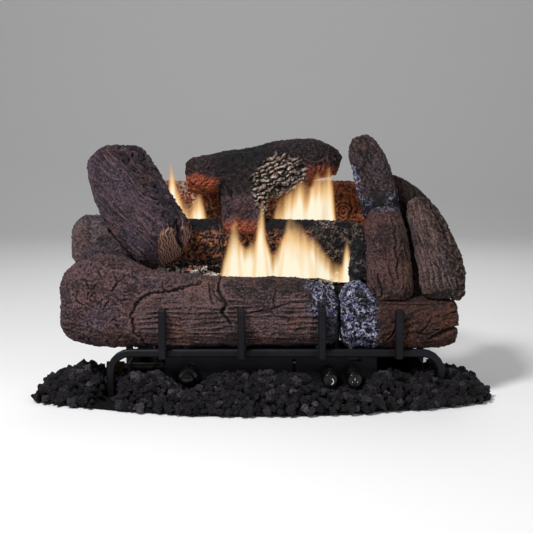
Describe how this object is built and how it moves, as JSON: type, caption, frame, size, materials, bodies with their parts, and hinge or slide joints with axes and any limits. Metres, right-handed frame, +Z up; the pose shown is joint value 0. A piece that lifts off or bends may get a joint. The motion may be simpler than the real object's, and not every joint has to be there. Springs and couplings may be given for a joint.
{
  "type": "gas log set",
  "caption": "Vent-free gas log set: cast ceramic logs stacked on a square-bar steel grate over tube burners, with a gas control panel, push igniter and a lava rock bed.",
  "frame": {"origin": "on the hearth, on the flat underside of the base pan, below the middle of the burners", "axes": "+X to the viewer's right along the logs, +Y from the front to the back, +Z up; the controls face -Y"},
  "size_m": [0.77, 0.4025, 0.4475],
  "materials": {
    "log_ceramic": "matte",
    "charred_ceramic": "matte",
    "grate_steel": "satin",
    "panel_steel": "satin",
    "burner_steel": "satin",
    "brass": "satin",
    "valve_alloy": "satin",
    "knob_plastic": "gloss",
    "ember_wool": "matte",
    "lava_rock": "matte",
    "lead_sleeve": "matte",
    "electrode_ceramic": "gloss"
  },
  "bodies": {
    "root": {"base_pan": "panel_steel", "branch_log": "log_ceramic", "charred_stub": "charred_ceramic", "control_panel": "panel_steel", "corner_log": "log_ceramic", "electrode": "electrode_ceramic", "ember_bed": "ember_wool", "front_burner": "burner_steel", "front_gas_tube": "valve_alloy", "front_injector": "brass", "front_log": "log_ceramic", "front_mixer": "burner_steel", "front_rail": "grate_steel", "gas_valve": "valve_alloy", "grate_bar_1": "grate_steel", "grate_bar_2": "grate_steel", "grate_bar_3": "grate_steel", "grate_bar_4": "grate_steel", "grate_finger_1": "grate_steel", "grate_finger_2": "grate_steel", "grate_finger_3": "grate_steel", "grate_finger_4": "grate_steel", "igniter_body": "knob_plastic", "igniter_wire": "lead_sleeve", "inlet_fitting": "brass", "lava_rock_front": "lava_rock", "lava_rock_left": "lava_rock", "lava_rock_right": "lava_rock", "left_diagonal_log": "log_ceramic", "left_stand": "burner_steel", "middle_log": "charred_ceramic", "middle_shelf": "burner_steel", "panel_screw_1": "valve_alloy", "panel_screw_2": "valve_alloy", "pilot_bracket": "burner_steel", "pilot_burner": "burner_steel", "pilot_tube": "valve_alloy", "rear_burner": "burner_steel", "rear_gas_tube": "valve_alloy", "rear_injector": "brass", "rear_log": "log_ceramic", "rear_mixer": "burner_steel", "rear_rail": "grate_steel", "rear_shelf": "burner_steel", "regulator": "valve_alloy", "right_inner_log": "log_ceramic", "right_outer_log": "log_ceramic", "right_rear_log": "log_ceramic", "right_stand": "burner_steel", "right_top_log": "log_ceramic", "supply_pipe": "valve_alloy", "thermocouple": "brass", "thermocouple_lead": "brass", "valve_bracket": "panel_steel"},
    "valve_plunger": {"valve_plunger": "brass"},
    "gas_knob": {"gas_stem": "brass", "gas_control_knob": "knob_plastic"},
    "flame_knob": {"flame_stem": "brass", "flame_height_knob": "knob_plastic"},
    "igniter_push_button": {"igniter_button": "knob_plastic"}
  },
  "joints": [
    {"name": "gas_knob_push", "type": "slide", "parent": "root", "child": "valve_plunger", "axis": [0, 1, 0], "range_m": [0, 0.004], "stiffness_N_per_m": 900, "springref_m": -0.004},
    {"name": "gas_knob_turn", "type": "hinge", "parent": "valve_plunger", "child": "gas_knob", "pos_m": [0.113, -0.0763, 0.044], "axis": [0, -1, 0], "range_deg": [0, 180]},
    {"name": "flame_knob_turn", "type": "hinge", "parent": "root", "child": "flame_knob", "pos_m": [0.154, -0.0763, 0.044], "axis": [0, -1, 0], "range_deg": [0, 180]},
    {"name": "igniter_push", "type": "slide", "parent": "root", "child": "igniter_push_button", "axis": [0, 1, 0], "range_m": [0, 0.006], "stiffness_N_per_m": 1500, "springref_m": -0.003}
  ]
}
